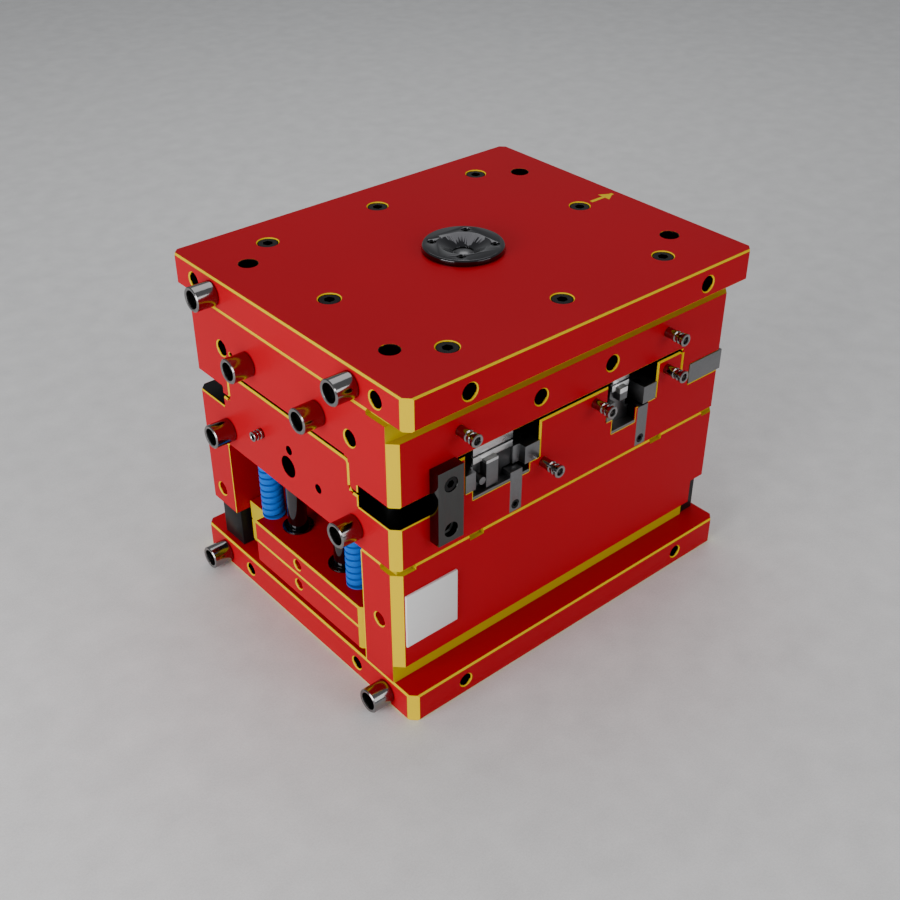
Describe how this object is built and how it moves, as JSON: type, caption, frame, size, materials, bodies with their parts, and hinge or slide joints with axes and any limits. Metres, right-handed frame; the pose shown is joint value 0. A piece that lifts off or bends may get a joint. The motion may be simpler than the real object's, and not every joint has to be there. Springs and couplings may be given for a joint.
{
  "type": "injection mould base",
  "caption": "Injection mould base with clamp plates, cavity and core plates, side slides with angle pins, spacer blocks, sprung ejector plates, a locating ring and standing feet.",
  "frame": {"origin": "centre of the knock-out bore at the underside of the bottom clamp plate", "axes": "+Z from the ejector half to the fixed half, +X along the long side, -Y towards the side with the slides"},
  "size_m": [0.568, 0.4535, 0.453],
  "materials": {
    "black_chrome": "polished",
    "dark_steel": "polished",
    "ground_steel": "ground",
    "plate_white": "satin",
    "red_paint": "gloss",
    "spring_blue": "satin",
    "switch_black": "satin"
  },
  "bodies": {
    "ejector_half": {"bottom_clamp_plate": "red_paint", "spacer_block_front": "red_paint", "spacer_block_rear": "red_paint", "b_plate": "red_paint", "core_insert": "ground_steel", "core_insert_screws": "dark_steel", "leader_pins": "dark_steel", "base_screws": "dark_steel", "support_pillars": "ground_steel", "pillar_screws": "dark_steel", "rest_buttons": "ground_steel", "ejector_guide_pins": "black_chrome", "b_plate_feet": "dark_steel", "bottom_clamp_feet": "dark_steel", "b_plate_nipples": "dark_steel", "b_plate_end_nipple": "dark_steel", "wear_plate_first": "ground_steel", "wear_plate_second": "ground_steel", "slide_gibs_first": "ground_steel", "slide_gibs_second": "ground_steel", "gib_screws_first": "dark_steel", "gib_screws_second": "dark_steel", "stop_bracket_first": "ground_steel", "stop_bracket_second": "ground_steel", "stop_bracket_screws": "dark_steel", "slot_block": "ground_steel", "slot_block_screws": "dark_steel", "limit_switches": "switch_black", "name_plate": "plate_white"},
    "fixed_half": {"top_clamp_plate": "red_paint", "a_plate": "red_paint", "cavity_insert": "ground_steel", "cavity_insert_screws": "dark_steel", "locating_ring": "black_chrome", "ring_screws": "dark_steel", "sprue_bushing": "ground_steel", "clamp_screws": "dark_steel", "leader_bushings": "dark_steel", "angle_pin_first": "ground_steel", "angle_pin_second": "ground_steel", "heel_block_first": "ground_steel", "heel_block_second": "ground_steel", "heel_screws": "dark_steel", "a_plate_feet": "dark_steel", "top_clamp_feet": "dark_steel", "a_plate_nipples": "dark_steel", "strap_screw": "dark_steel"},
    "ejector_assembly": {"ejector_retainer_plate": "red_paint", "ejector_plate": "red_paint", "return_pins": "dark_steel", "return_springs": "spring_blue", "ejector_pins": "dark_steel", "sprue_puller": "dark_steel", "ejector_guide_bushings": "black_chrome", "ejector_screws": "dark_steel"},
    "slide_one": {"slide_first": "ground_steel", "slide_bolt_first": "dark_steel"},
    "slide_two": {"slide_second": "ground_steel"},
    "strap": {"safety_strap": "ground_steel"}
  },
  "joints": [
    {"name": "mold_open", "type": "slide", "parent": "ejector_half", "child": "fixed_half", "axis": [0, 0, 1], "range_m": [0, 0.044]},
    {"name": "ejector_stroke", "type": "slide", "parent": "ejector_half", "child": "ejector_assembly", "axis": [0, 0, 1], "range_m": [0, 0.03], "deforming": ["return_springs"]},
    {"name": "slide_one_travel", "type": "slide", "parent": "ejector_half", "child": "slide_one", "axis": [0, -1, 0], "range_m": [0, 0.0095]},
    {"name": "slide_two_travel", "type": "slide", "parent": "ejector_half", "child": "slide_two", "axis": [0, -1, 0], "range_m": [0, 0.0095]},
    {"name": "strap_swing", "type": "hinge", "parent": "fixed_half", "child": "strap", "pos_m": [-0.203, -0.2076, 0.31], "axis": [0, 1, 0], "range_deg": [-90, 90]}
  ],
  "couplings": [
    {"joint": "ejector_stroke", "follows": "mold_open", "ratio": 0.667},
    {"joint": "slide_one_travel", "follows": "mold_open", "ratio": 0.21256},
    {"joint": "slide_two_travel", "follows": "mold_open", "ratio": 0.21256}
  ]
}
